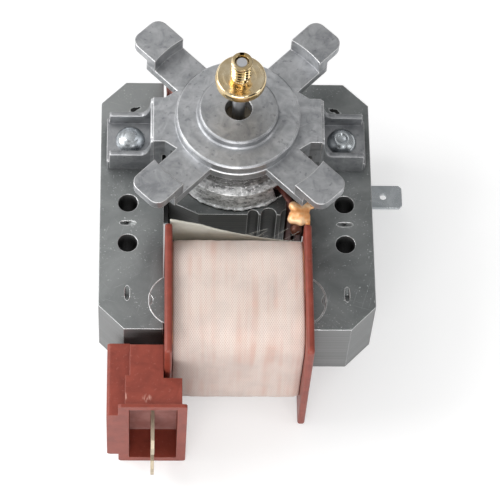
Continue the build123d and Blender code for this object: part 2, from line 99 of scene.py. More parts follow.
def times(tree, *factors):
    total = factors[0]
    for factor in factors[1:]:
        total = mathNode(tree, "MULTIPLY", total, factor)
    return total

def rampNode(tree, factor, stops):
    node = addNode(tree, "ValToRGB", {"Fac": factor})
    ramp = node.color_ramp
    while len(ramp.elements) < len(stops):
        ramp.elements.new(0.5)
    for element, (position, value) in zip(ramp.elements, stops):
        element.position = position
        element.color = (value, value, value, 1) if isinstance(value, (int, float)) else (*value, 1)
    return node.outputs["Color"]

def mixColour(tree, factor, first, second, blend="MIX"):
    sockets = {"Factor": factor, 6: first, 7: second}
    return addNode(tree, "Mix", sockets, data_type="RGBA", blend_type=blend).outputs[2]

def noiseNode(tree, vector, scale, detail=3.0, roughness=0.5, distortion=0.0):
    sockets = {"Vector": vector, "Scale": scale, "Detail": detail, "Roughness": roughness, "Distortion": distortion}
    return addNode(tree, "TexNoise", sockets).outputs["Fac"]

def groupNode(tree, group, **values):
    return addNode(tree, "Group", values, node_tree=group).outputs

def ownPlace(tree):                  # the piece's own coordinates
    return addNode(tree, "TexCoord").outputs["Object"]

def axesOf(tree, vector):
    return addNode(tree, "SeparateXYZ", {"Vector": vector}).outputs[:]

def reachOf(tree, x, y):             # distance from the shaft's axis
    flat = addNode(tree, "CombineXYZ", {"X": x, "Y": y})
    return addNode(tree, "VectorMath", {0: flat.outputs["Vector"]}, operation="LENGTH").outputs["Value"]

def layOut(tree):                    # in columns, by the number of links to the end
    depth = {node.name: 0 for node in tree.nodes}
    links = [(link.from_node.name, link.to_node.name) for link in tree.links]
    for turn in tree.nodes:
        for source, target in links:
            depth[source] = max(depth[source], depth[target] + 1)
    rows = {}
    for node in tree.nodes:
        column = depth[node.name]
        rows[column] = rows.get(column, 0) + 1
        node.location = (-260 * column, -300 * rows[column])

# Effects that several materials share

# painted highlight: a light colour is mixed in along convex edges, broken into patches, standing for the light that
# rounded edges catch; the bevelled normal is real rounding
def makeEdgeHighlight():
    group, start, end = newGroup("edgeWear", {"Radius": 0.0003, "Gain": 6.0, "Patch": 0.4}, ["Mask", "Normal"])
    bevel = addNode(group, "Bevel", {"Radius": start["Radius"]}, samples=6)
    geometry = addNode(group, "NewGeometry")
    dot = addNode(group, "VectorMath", {0: bevel.outputs["Normal"], 1: geometry.outputs["True Normal"]},
                  operation="DOT_PRODUCT")
    bend = mathNode(group, "SUBTRACT", 1.0, dot.outputs["Value"])
    reach = times(group, start["Radius"], 2.2)
    inside = addNode(group, "AmbientOcclusion", {"Distance": reach}, samples=6, inside=True, only_local=True)
    outer = mathNode(group, "SUBTRACT", 1.0, inside.outputs["AO"])
    both = times(group, bend, outer)
    gained = mathNode(group, "MULTIPLY", both, start["Gain"], clamp=True)
    patch = noiseNode(group, ownPlace(group), 260.0, 3.0, 0.6)
    paintedSheen = rampNode(group, patch, [(0.38, 0.0), (0.62, 1.0)])
    keep = mathNode(group, "SUBTRACT", 1.0, start["Patch"])
    share = mathNode(group, "MULTIPLY_ADD", paintedSheen, start["Patch"], keep)
    mask = mathNode(group, "MULTIPLY", gained, share, clamp=True)
    fill(group, end, {"Mask": mask, "Normal": bevel.outputs["Normal"]})
    return group


def makeMottle():
    group, start, end = newGroup("mottle", {"Scale": 120.0, "Stain": 60.0}, ["Cloud", "Fleck", "Grain"])
    own = ownPlace(group)
    cloud = noiseNode(group, own, start["Scale"], 5.0, 0.62, 0.6)
    size = times(group, start["Stain"], 14.0)
    fleck = noiseNode(group, own, size, 2.0, 0.5)
    spots = rampNode(group, fleck, [(0.64, 0.0), (0.70, 1.0)])
    grain = noiseNode(group, own, 5200.0, 2.0, 0.6)
    fill(group, end, {"Cloud": cloud, "Fleck": spots, "Grain": grain})
    return group


def makeScratches():
    group, start, end = newGroup("scratches", {"Density": 1.0}, ["Mask"])
    own = ownPlace(group)
    total = None
    for number, angle in enumerate((0.45, 1.25, 2.2, 2.85)):
        mapping = addNode(group, "Mapping",
                          {"Rotation": (0, 0, angle), "Location": (number * 0.13, 0, 0),
                           "Scale": (1 / 130, 1 / 4600, 1 / 130), "Vector": own}, vector_type="TEXTURE")
        streak = noiseNode(group, mapping.outputs["Vector"], 1.0, 1.0, 0.4)
        thin = rampNode(group, streak, [(0.73, 0.0), (0.79, 1.0)])
        total = thin if total is None else mathNode(group, "MAXIMUM", total, thin)
    mask = mathNode(group, "MULTIPLY", total, start["Density"], clamp=True)
    fill(group, end, {"Mask": mask})
    return group


edgeWear = makeEdgeHighlight()
mottle = makeMottle()
scratches = makeScratches()


def newMaterial(name):
    material = bpy.data.materials.new(name)
    material.use_nodes = True
    tree = material.node_tree
    tree.nodes.clear()
    shader = addNode(tree, "BsdfPrincipled")
    addNode(tree, "OutputMaterial", {"Surface": shader.outputs["BSDF"]})
    return material, tree, shader


def bumpNode(tree, shader, height, strength, distance, normal=None):
    bump = addNode(tree, "Bump", {"Strength": strength, "Distance": distance, "Height": height})
    if normal is not None:
        tree.links.new(normal, bump.inputs["Normal"])
    fill(tree, shader, {"Normal": bump.outputs["Normal"]})


def skinOf(tree, dark, light, scale=200.0, stain=80.0):
    skin = groupNode(tree, mottle, Scale=scale, Stain=stain)
    cloud = rampNode(tree, skin["Cloud"], [(0.35, 0.0), (0.65, 1.0)])
    return skin, cloud, mixColour(tree, cloud, dark, light)


def castAlloy():
    look = dict(dark=(0.288, 0.296, 0.310), light=(0.525, 0.532, 0.545), edge=(1.0, 1.0, 1.0), stain=(0.17, 0.175, 0.19),
                line=(0.75, 0.75, 0.76), metallic=0.9, footShade=0.36, legTone=0.94, plateTone=1.08,
                crust=((0.38, 0.22), (0.50, 0.70), (0.60, 1.0)), roughness=0.42, edgeRadius=0.0004, edgeGain=20.0,
                bump=0.00003, paintedGlint=(0.9, 0.9, 0.9), shade=(0.05, 0.055, 0.06), bellRadius=17.3, bellTop=10.9,
                bellHeight=11.0, wingHalf=9.0, ringRadius=15.2, plateTop=16.6, footStart=20.6, footTop=10.5)
    material, tree, shader = newMaterial("castAlloy")
    skin = groupNode(tree, mottle, Scale=330.0, Stain=60.0)
    broad = groupNode(tree, mottle, Scale=70.0, Stain=20.0)
    half = times(tree, broad["Cloud"], 0.45)
    both = mathNode(tree, "MULTIPLY_ADD", skin["Cloud"], 0.55, half)
    cloud = rampNode(tree, both, [(0.38, 0.0), (0.60, 1.0)])
    base = mixColour(tree, cloud, look["dark"], look["light"])
    stains = times(tree, skin["Fleck"], 0.45)
    flecked = mixColour(tree, stains, base, look["stain"])
    # painted highlight along the convex edges
    edge = groupNode(tree, edgeWear, Radius=look["edgeRadius"], Gain=look["edgeGain"], Patch=0.22)
    colour = mixColour(tree, edge["Mask"], flecked, look["edge"])
    lines = groupNode(tree, scratches, Density=0.3)
    colour = mixColour(tree, lines["Mask"], colour, look["line"])
    # the bell below the legs is left as cast and rough; painted light and shade by height: dark under the ring, lighter
    # on the flared shoulder, with painted glints, and real white chips of flash near its rim
    own = ownPlace(tree)
    ownX, ownY, ownZ = axesOf(tree, own)
    reach = reachOf(tree, ownX, ownY)
    near = mathNode(tree, "LESS_THAN", reach, look["bellRadius"] * mm)
    under = mathNode(tree, "LESS_THAN", ownZ, stackFront + look["bellTop"] * mm)
    front = mathNode(tree, "GREATER_THAN", ownZ, stackFront - 0.1 * mm)
    bell = times(tree, near, under, front)
    around = addNode(tree, "Mapping", {"Scale": (1, 1, 2.2), "Vector": own})
    crust = noiseNode(tree, around.outputs["Vector"], 620.0, 6.0, 0.74)
    crusty = rampNode(tree, crust, look["crust"])
    height = mathNode(tree, "SUBTRACT", ownZ, stackFront)
    height = mathNode(tree, "DIVIDE", height, look["bellHeight"] * mm)
    # painted shade under the ring, painted light on the shoulder
    paintedBellLight = rampNode(tree, height,
                      [(0.0, 1.0), (0.36, 1.0), (0.42, 0.85), (0.50, 0.50), (0.60, 0.42), (0.85, 0.30), (0.95, 0.12)])
    crusty = mixColour(tree, 1.0, crusty, paintedBellLight, "MULTIPLY")
    # painted glints on the rough shoulder
    paintedGlint = noiseNode(tree, own, 1400.0, 2.0, 0.6)
    paintedGlints = rampNode(tree, paintedGlint, [(0.58, 0.0), (0.66, 0.75)])
    crusty = mixColour(tree, paintedGlints, crusty, look["paintedGlint"])
    flake = noiseNode(tree, own, 380.0, 4.0, 0.6)
    flakes = rampNode(tree, flake, [(0.54, 0.0), (0.58, 1.0)])
    low = rampNode(tree, height, [(0.05, 1.0), (0.13, 0.0)])
    chips = times(tree, flakes, low)
    crusty = mixColour(tree, chips, crusty, look["edge"])
    # the plate, its wings and the ring are painted a little brighter than the legs
    sideways = mathNode(tree, "ABSOLUTE", ownY)
    wing = mathNode(tree, "LESS_THAN", sideways, look["wingHalf"] * mm)
    hubward = mathNode(tree, "LESS_THAN", reach, look["ringRadius"] * mm)
    plate = mathNode(tree, "MAXIMUM", wing, hubward)
    below = mathNode(tree, "LESS_THAN", ownZ, stackFront + look["plateTop"] * mm)
    plate = times(tree, plate, below)
    tone = mixColour(tree, plate, (look["legTone"],) * 3, (look["plateTone"],) * 3)
    colour = mixColour(tree, 1.0, colour, tone, "MULTIPLY")
    colour = mixColour(tree, bell, colour, crusty)
    # painted shade: the feet low down are darkened towards a near-black shade colour
    aside = mathNode(tree, "ABSOLUTE", ownX)
    feet = mathNode(tree, "GREATER_THAN", aside, look["footStart"] * mm)
    lowDown = mathNode(tree, "LESS_THAN", ownZ, stackFront + look["footTop"] * mm)
    feet = times(tree, feet, lowDown, look["footShade"])
    colour = mixColour(tree, feet, colour, look["shade"])
    rough = rampNode(tree, both, [(0.3, look["roughness"] + 0.08), (0.7, look["roughness"] - 0.06)])
    fill(tree, shader, {"Base Color": colour, "Metallic": look["metallic"], "Roughness": rough})
    grain = mathNode(tree, "MULTIPLY_ADD", skin["Grain"], 0.35, skin["Cloud"])
    rise = times(tree, crust, bell)
    deep = mathNode(tree, "MULTIPLY_ADD", rise, 9.0, grain)
    bumpNode(tree, shader, deep, 0.45, look["bump"], edge["Normal"])
    return material


def laminatedSteel():
    look = dict(dark=(0.165, 0.176, 0.176), light=(0.275, 0.288, 0.286), paintedSheen=(0.46, 0.47, 0.465), dent=(24.3, 10.7),
                edge=(0.95, 0.96, 0.96), sheet=0.5 * mm, metallic=0.75, nook=5.0 * mm,
                roughness=0.36)
    material, tree, shader = newMaterial("laminatedSteel")
    skin, _, face = skinOf(tree, look["dark"], look["light"], 70.0, 60.0)
    lines = groupNode(tree, scratches, Density=0.3)
    face = mixColour(tree, lines["Mask"], face, (0.50, 0.52, 0.52))
    specks = groupNode(tree, mottle, Scale=220.0, Stain=150.0)
    strewn = rampNode(tree, specks["Cloud"], [(0.46, 0.0), (0.60, 0.8)])
    strewn = times(tree, strewn, specks["Fleck"])
    face = mixColour(tree, strewn, face, (0.74, 0.76, 0.76))
    own = ownPlace(tree)
    ownX, ownY, ownZ = axesOf(tree, own)
    # painted sheen: the upper left corner is painted lighter, standing for light reflected there; a torn dent is
    # painted above each foot, black for the shade in its hollow and light for the highlight on its lip
    leftSide = rampNode(tree, mathNode(tree, "DIVIDE", ownX, -32.5 * mm), [(0.30, 0.0), (0.55, 0.55), (1.0, 0.40)])
    upper = rampNode(tree, mathNode(tree, "DIVIDE", ownY, 20 * mm), [(0.0, 0.2), (0.5, 1.0)])
    face = mixColour(tree, times(tree, leftSide, upper), face, look["paintedSheen"])
    across = mathNode(tree, "SUBTRACT", mathNode(tree, "ABSOLUTE", ownX), look["dent"][0] * mm)
    along = mathNode(tree, "SUBTRACT", ownY, look["dent"][1] * mm)
    reach = addNode(tree, "CombineXYZ",
                    {"X": times(tree, across, 0.5), "Y": mathNode(tree, "MULTIPLY_ADD", across, 0.45, along)})
    length = addNode(tree, "VectorMath", {0: reach.outputs["Vector"]}, operation="LENGTH")
    torn = noiseNode(tree, own, 900.0, 2.0, 0.6)
    dent = mathNode(tree, "MULTIPLY_ADD", torn, 1.4 * mm, length.outputs["Value"])
    dent = mathNode(tree, "DIVIDE", dent, 2 * mm)
    # painted shade in the dent's hollow, then a painted highlight on its lip
    face = mixColour(tree, rampNode(tree, dent, [(0.62, 1.0), (0.66, 0.0)]), face, (0.02, 0.02, 0.02))
    face = mixColour(tree, rampNode(tree, dent, [(0.64, 0.0), (0.69, 0.9), (0.75, 0.0)]), face, (0.62, 0.63, 0.63))
    # the sides show the sheets
    steps = mathNode(tree, "DIVIDE", ownZ, look["sheet"])
    sheetRow = mathNode(tree, "FLOOR", steps)
    within = mathNode(tree, "FRACT", steps)
    gap = rampNode(tree, within, [(0.0, 0.80), (0.12, 1.0), (0.9, 1.0), (1.0, 0.80)])
    shade = addNode(tree, "TexWhiteNoise", {"W": sheetRow}, noise_dimensions="1D")
    tone = rampNode(tree, shade.outputs["Value"], [(0.0, (0.215, 0.22, 0.22)), (1.0, (0.255, 0.26, 0.26))])
    side = mixColour(tree, gap, (0.10, 0.10, 0.10), tone)
    upright = axesOf(tree, addNode(tree, "NewGeometry").outputs["True Normal"])[2]
    flat = mathNode(tree, "ABSOLUTE", upright)
    isFace = rampNode(tree, flat, [(0.6, 0.0), (0.7, 1.0)])
    colour = mixColour(tree, isFace, side, face)
    # painted highlight along the convex edges
    edge = groupNode(tree, edgeWear, Radius=0.0003, Gain=22.0, Patch=0.2)
    # painted shade: the colour is darkened in holes, slits and nooks by ambient occlusion
    hidden = addNode(tree, "AmbientOcclusion", {"Distance": look["nook"]}, samples=6)
    open = rampNode(tree, hidden.outputs["AO"], [(0.22, 0.03), (0.66, 1.0)])
    colour = mixColour(tree, 1.0, colour, open, "MULTIPLY")
    colour = mixColour(tree, edge["Mask"], colour, look["edge"])
    fill(tree, shader, {"Base Color": colour, "Metallic": look["metallic"]})
    rough = rampNode(tree, isFace, [(0.0, 0.5), (1.0, look["roughness"])])
    rough = mixColour(tree, edge["Mask"], rough, (0.28, 0.28, 0.28))
    fill(tree, shader, {"Roughness": rough})
    ridge = mixColour(tree, isFace, gap, (1.0, 1.0, 1.0))
    height = mathNode(tree, "MULTIPLY_ADD", skin["Grain"], 0.12, ridge)
    bumpNode(tree, shader, height, 0.3, 0.00003, edge["Normal"])
    return material


def redPlastic():
    look = dict(dark=(0.20, 0.036, 0.022), light=(0.27, 0.052, 0.032), edge=(0.42, 0.14, 0.10), roughness=0.40)
    material, tree, shader = newMaterial("redPlastic")
    skin, cloud, base = skinOf(tree, look["dark"], look["light"], 260.0, 110.0)
    faint = times(tree, skin["Fleck"], 0.4)
    flecked = mixColour(tree, faint, base, (0.34, 0.11, 0.08))
    # painted reflection: the back wall of the terminals' mouth is painted paler, in clouds, standing for the floor it
    # reflects
    own = ownPlace(tree)
    ownX, ownY, ownZ = axesOf(tree, own)
    paintedReflection = None
    for axis, middle, reach in ((ownX, -19.4, 5.6), (ownY, -61.15, 0.32), (ownZ, -48.0, 13.8)):
        away = mathNode(tree, "SUBTRACT", axis, middle * mm)
        away = mathNode(tree, "ABSOLUTE", away)
        near = mathNode(tree, "LESS_THAN", away, reach * mm)
        paintedReflection = near if paintedReflection is None else times(tree, paintedReflection, near)
    dustAndSheen = times(tree, paintedReflection, cloud)
    thin = times(tree, paintedReflection, 0.55)
    dustAndSheen = mathNode(tree, "MULTIPLY_ADD", dustAndSheen, 0.35, thin)
    flecked = mixColour(tree, dustAndSheen, flecked, (0.44, 0.23, 0.21))
    # two scuffs on the top of the terminal housing, near its mouth
    drawn = addNode(tree, "CombineXYZ", {"X": times(tree, ownX, 4.5), "Y": ownY})
    streak = rampNode(tree, noiseNode(tree, drawn.outputs["Vector"], 420.0, 2.0, 0.6), [(0.48, 0.0), (0.58, 0.85)])
    top = mathNode(tree, "GREATER_THAN", ownZ, -37.0 * mm)
    plan = addNode(tree, "CombineXYZ", {"X": ownX, "Y": ownY})
    for x, y, reach in ((-21.0, -66.2, 1.25), (-26.3, -65.8, 1.3)):
        away = addNode(tree, "VectorMath", {0: plan.outputs["Vector"], 1: (x * mm, y * mm, 0)}, operation="DISTANCE")
        near = rampNode(tree, mathNode(tree, "DIVIDE", away.outputs["Value"], reach * mm), [(0.5, 1.0), (1.0, 0.0)])
        near = times(tree, near, top, streak)
        flecked = mixColour(tree, near, flecked, (0.50, 0.25, 0.20))
    # painted highlight along the convex edges
    edge = groupNode(tree, edgeWear, Radius=0.0003, Gain=6.0, Patch=0.3)
    colour = mixColour(tree, edge["Mask"], flecked, look["edge"])
    fill(tree, shader, {"Base Color": colour, "Roughness": look["roughness"], "Specular IOR Level": 0.40})
    bumpNode(tree, shader, skin["Grain"], 0.25, 0.00003, edge["Normal"])
    return material


def plainMetal(name, dark, light, edgeHighlightColour, roughness, metallic=1.0, scale=200.0, edgeRadius=0.00015):
    material, tree, shader = newMaterial(name)
    skin, _, base = skinOf(tree, dark, light, scale)
    # painted highlight along the convex edges
    edge = groupNode(tree, edgeWear, Radius=edgeRadius, Gain=5.0, Patch=0.3)
    colour = mixColour(tree, edge["Mask"], base, edgeHighlightColour)
    rough = rampNode(tree, skin["Cloud"], [(0.3, roughness + 0.06), (0.7, roughness - 0.04)])
    fill(tree, shader, {"Base Color": colour, "Metallic": metallic, "Roughness": rough})
    bumpNode(tree, shader, skin["Grain"], 0.15, 0.00001, edge["Normal"])
    return material


def turnedBrass():
    look = dict(base=(0.58, 0.40, 0.16), pale=(0.88, 0.74, 0.50), seat=(1.0, 0.88, 0.66), roughness=0.10, anisotropy=0.8,
                turn=0.25)
    material, tree, shader = newMaterial("turnedBrass")
    own = ownPlace(tree)
    ownX, ownY, ownZ = axesOf(tree, own)
    reach = reachOf(tree, ownX, ownY)
    both = mathNode(tree, "ADD", reach, ownZ)
    rings = addNode(tree, "TexNoise", {"Scale": 7000.0, "Detail": 2.0, "W": both}, noise_dimensions="1D")
    cloud = noiseNode(tree, own, 300.0, 3.0, 0.5)
    tint = rampNode(tree, cloud, [(0.35, 0.0), (0.7, 1.0)])
    colour = mixColour(tree, tint, look["base"], look["pale"])
    lift = mathNode(tree, "ADD", ownZ, 0.15 * mm)
    lift = mathNode(tree, "ABSOLUTE", lift)
    seat = mathNode(tree, "LESS_THAN", lift, 0.21 * mm)
    seat = times(tree, seat, 0.30)
    colour = mixColour(tree, seat, colour, look["seat"])
    fill(tree, shader,
         {"Base Color": colour, "Metallic": 1.0, "Anisotropic": look["anisotropy"], "Anisotropic Rotation": look["turn"]})
    tangent = addNode(tree, "Tangent", direction_type="RADIAL", axis="Z")
    fill(tree, shader, {"Tangent": tangent.outputs["Tangent"]})
    rough = rampNode(tree, rings.outputs["Fac"], [(0.3, look["roughness"] - 0.04), (0.7, look["roughness"] + 0.06)])
    fill(tree, shader, {"Roughness": rough})
    bumpNode(tree, shader, rings.outputs["Fac"], 0.6, 0.000014)
    return material


def groundSteel():
    look = dict(dark=(0.46, 0.46, 0.47), light=(0.60, 0.60, 0.61), end=(0.66, 0.67, 0.69), endHeight=38.9)
    material, tree, shader = newMaterial("groundSteel")
    skin, _, base = skinOf(tree, look["dark"], look["light"])
    own = ownPlace(tree)
    ownZ = axesOf(tree, own)[2]
    end = mathNode(tree, "GREATER_THAN", ownZ, stackFront + look["endHeight"] * mm)
    colour = mixColour(tree, end, base, look["end"])
    rough = mixColour(tree, end, (0.32, 0.32, 0.32), (0.36, 0.36, 0.36))
    fill(tree, shader, {"Base Color": colour, "Metallic": 1.0, "Roughness": rough})
    bumpNode(tree, shader, skin["Grain"], 0.15, 0.00001)
    return material


def wovenTape():
    look = dict(threadX=0.00027, threadY=0.00044, pale=(0.755, 0.645, 0.585), pink=(0.68, 0.455, 0.385),
                grey=(0.55, 0.475, 0.44),
                gap=(0.30, 0.20, 0.16))
    material, tree, shader = newMaterial("wovenTape")
    uv = addNode(tree, "UVMap", uv_map="wrap")
    split = addNode(tree, "SeparateXYZ", {"Vector": uv.outputs["UV"]})
    waves = []
    for axis in ("X", "Y"):
        turns = times(tree, split.outputs[axis], math.pi / look["thread" + axis])
        waves.append(mathNode(tree, "SINE", turns))
    weave = times(tree, waves[0], waves[1])
    over = mathNode(tree, "MULTIPLY_ADD", weave, 0.5, 0.5)
    holes = rampNode(tree, over, [(0.05, 1.0), (0.60, 0.0)])
    layers = []
    for scale, low, high in (((420, 22, 1), 0.46, 0.66), ((1500, 60, 1), 0.44, 0.70)):
        stretch = addNode(tree, "Mapping", {"Scale": scale, "Vector": uv.outputs["UV"]})
        streaks = noiseNode(tree, stretch.outputs["Vector"], 1.0, 2.0, 0.5)
        layers.append(rampNode(tree, streaks, [(low, 0.0), (high, 1.0)]))
    own = ownPlace(tree)
    patch = noiseNode(tree, own, 110.0, 3.0, 0.5)
    patchy = rampNode(tree, patch, [(0.38, 0.15), (0.62, 1.0)])
    blush = times(tree, layers[0], patchy, 0.85)
    fine = times(tree, layers[1], 0.30)
    blush = mathNode(tree, "MAXIMUM", blush, fine)
    dust = noiseNode(tree, own, 150.0, 4.0, 0.6)
    dustAndSheen = rampNode(tree, dust, [(0.45, 0.0), (0.75, 0.55)])
    colour = mixColour(tree, blush, look["pale"], look["pink"])
    colour = mixColour(tree, dustAndSheen, colour, look["grey"])
    seen = times(tree, holes, 0.5)
    colour = mixColour(tree, seen, colour, look["gap"])
    fill(tree, shader, {"Base Color": colour, "Roughness": 0.62, "Sheen Weight": 0.12})
    bumpNode(tree, shader, over, 0.7, 0.00008)
    return material


def meltedCopper():
    look = dict(deep=(0.80, 0.30, 0.085), warm=(0.96, 0.46, 0.18), pale=(1.0, 0.68, 0.40), paintedUnderShade=(0.10, 0.03, 0.014))
    material, tree, shader = newMaterial("meltedCopper")
    own = ownPlace(tree)
    cloud = noiseNode(tree, own, 330.0, 4.0, 0.6)
    tone = rampNode(tree, cloud, [(0.36, look["deep"]), (0.48, look["warm"]), (0.60, look["pale"])])
    # painted shade: the lower part of the lump is painted near black, standing for the shade beneath it
    ownZ = axesOf(tree, own)[2]
    drop = mathNode(tree, "SUBTRACT", ownZ, stackFront)
    depth = mathNode(tree, "DIVIDE", drop, 5.0 * mm)
    aboveShade = rampNode(tree, depth, [(0.74, 0.0), (0.88, 1.0)])
    colour = mixColour(tree, aboveShade, look["paintedUnderShade"], tone)
    rough = rampNode(tree, aboveShade, [(0.0, 0.38), (1.0, 0.46)])
    fill(tree, shader, {"Base Color": colour, "Metallic": 0.35, "Roughness": rough})
    bumpNode(tree, shader, cloud, 0.35, 0.00006)
    return material


def cloudyLook(name, grain, tones, values, bump):
    material, tree, shader = newMaterial(name)
    cloud = noiseNode(tree, ownPlace(tree), *grain)
    fill(tree, shader, {"Base Color": rampNode(tree, cloud, tones)})
    fill(tree, shader, {key: rampNode(tree, cloud, value) if isinstance(value, list) else value
                        for key, value in values.items()})
    bumpNode(tree, shader, cloud, *bump)
    return material


clearFilm = cloudyLook(
    "clearFilm", (160.0, 4.0, 0.6), [(0.35, (0.50, 0.495, 0.44)), (0.65, (0.61, 0.60, 0.535))],
    {"Roughness": 0.32, "Subsurface Weight": 0.25, "Subsurface Radius": (0.002, 0.0018, 0.0014),
     "Subsurface Scale": 0.5}, (0.3, 0.0001))
varnish = cloudyLook(
    "wireVarnish", (500.0, 4.0, 0.6), [(0.35, (0.10, 0.028, 0.022)), (0.65, (0.20, 0.06, 0.045))],
    {"Metallic": 0.4, "Roughness": [(0.35, 0.28), (0.65, 0.42)]}, (0.4, 0.00006))
oiledFelt = cloudyLook(
    "oiledFelt", (2500.0, 4.0, 0.7), [(0.3, (0.10, 0.085, 0.06)), (0.7, (0.22, 0.19, 0.14))], {"Roughness": 0.9},
    (0.6, 0.0002))
finish = {
    "lamination": laminatedSteel(),
    "former_plastic": redPlastic(),
    "copper": meltedCopper(),
    "tape": wovenTape(),
    "film": clearFilm,
    "tinned_brass": plainMetal("tinnedBrass", (0.40, 0.33, 0.23), (0.58, 0.50, 0.38), (0.75, 0.66, 0.5), 0.5, 0.4),
    "cast_alloy": castAlloy(),
    # painted shade: the bronze is painted near black, standing for the shade deep in its hole
    "sintered_bronze": plainMetal("sinteredBronze", (0.11, 0.095, 0.075), (0.19, 0.165, 0.13), (0.5, 0.42, 0.32), 0.45),
    "felt": oiledFelt,
    "spring_steel": plainMetal("springSteel", (0.36, 0.37, 0.38), (0.46, 0.47, 0.48), (0.8, 0.8, 0.8), 0.34),
    "zinc_plate": plainMetal("zincPlate", (0.42, 0.45, 0.47), (0.58, 0.61, 0.63), (0.85, 0.87, 0.88), 0.26),
    "ground_steel": groundSteel(),
    "washer_plastic": plainMetal("washerPlastic", (0.60, 0.57, 0.48), (0.70, 0.67, 0.58), (0.8, 0.78, 0.7), 0.5, 0.0),
    "brass": turnedBrass(),
}
# painted highlight: this burr metal is painted near white for the glint that the burrs, flash and staked lips catch
burrMetal = plainMetal("burrMetal", (0.34, 0.35, 0.35), (0.90, 0.92, 0.92), (0.95, 0.95, 0.95), 0.35, 0.35, 700.0)
slotShade = plainMetal("slotShade", (0.014, 0.009, 0.004), (0.03, 0.018, 0.008), (0.06, 0.04, 0.02), 0.7)
slotOf = {part["node"]: part["material_slot"] for part in frame["record"]["subparts"]}
for nodeName, nodeObject in frame["nodes"].items():
    nodeObject.data.materials.clear()
    nodeObject.data.materials.append(varnish if nodeName == "shading_ring_left" else finish[slotOf[nodeName]])
print("materials made,", len(finish))


# Pieces

def newObject(name, data):
    thing = bpy.data.objects.new(name, data)
    bpy.context.scene.collection.objects.link(thing)
    return thing

def addPiece(name, mesh, slot, body="stator", replaced=(), crease=None, look=None):
    if isinstance(mesh, bmesh.types.BMesh):
        mesh = meshFrom(name, mesh)
    piece = newObject(name, mesh)
    piece.data.materials.clear()
    piece.data.materials.append(look or finish[slot])
    for face in mesh.polygons:
        face.use_smooth = True
    if crease is not None:
        mesh.set_sharp_from_angle(angle=math.radians(crease))
    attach(piece, body)
    if replaced:
        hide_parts(*replaced)
    return piece


def meshFrom(name, work):
    bmesh.ops.recalc_face_normals(work, faces=work.faces)
    mesh = bpy.data.meshes.new(name)
    work.to_mesh(mesh)
    work.free()
    return mesh


def copyOf(nodeName):                # the CAD mesh itself is left alone
    work = bmesh.new()
    work.from_mesh(frame["nodes"][nodeName].data)
    bmesh.ops.remove_doubles(work, verts=work.verts, dist=1e-6)
    bmesh.ops.dissolve_limit(work, angle_limit=math.radians(0.5), verts=work.verts, edges=work.edges)
    return work


def spinProfile(work, points, steps=96, centre=(0, 0)):
    # points are (radius, height above the stack) in millimetres
    verts = [work.verts.new(at(centre[0] + radius, centre[1], height)) for radius, height in points]
    edges = [work.edges.new(pair) for pair in zip(verts, verts[1:])]
    bmesh.ops.spin(work, geom=verts + edges, cent=(centre[0] * mm, centre[1] * mm, 0), axis=(0, 0, 1),
                   angle=2 * math.pi, steps=steps, use_merge=True)
    bmesh.ops.remove_doubles(work, verts=work.verts, dist=1e-7)


def sharpEdges(work, degrees):
    return [edge for edge in work.edges if len(edge.link_faces) == 2 and edge.calc_face_angle() > math.radians(degrees)]

def roundEdges(work, edges, offset, segments, clamp=True):
    bmesh.ops.bevel(work, geom=edges, offset=offset * mm, offset_type="OFFSET", segments=segments, profile=0.5,
                    affect="EDGES", material=-1, clamp_overlap=clamp)

def pushOut(work, faces, shift):
    risen = bmesh.ops.extrude_face_region(work, geom=faces)
    moved = [item for item in risen["geom"] if isinstance(item, bmesh.types.BMVert)]
    bmesh.ops.translate(work, verts=moved, vec=shift)

def thicken(piece, thickness, offset):
    wall = piece.modifiers.new("wall", "SOLIDIFY")
    wall.thickness = thickness * mm
    wall.offset = offset

def at(x, y, z):                     # millimetres, with the height above the stack's front face
    return Vector((x * mm, y * mm, z * mm + stackFront))


# Brass hub: turned flange, threaded collar and a slot in its end

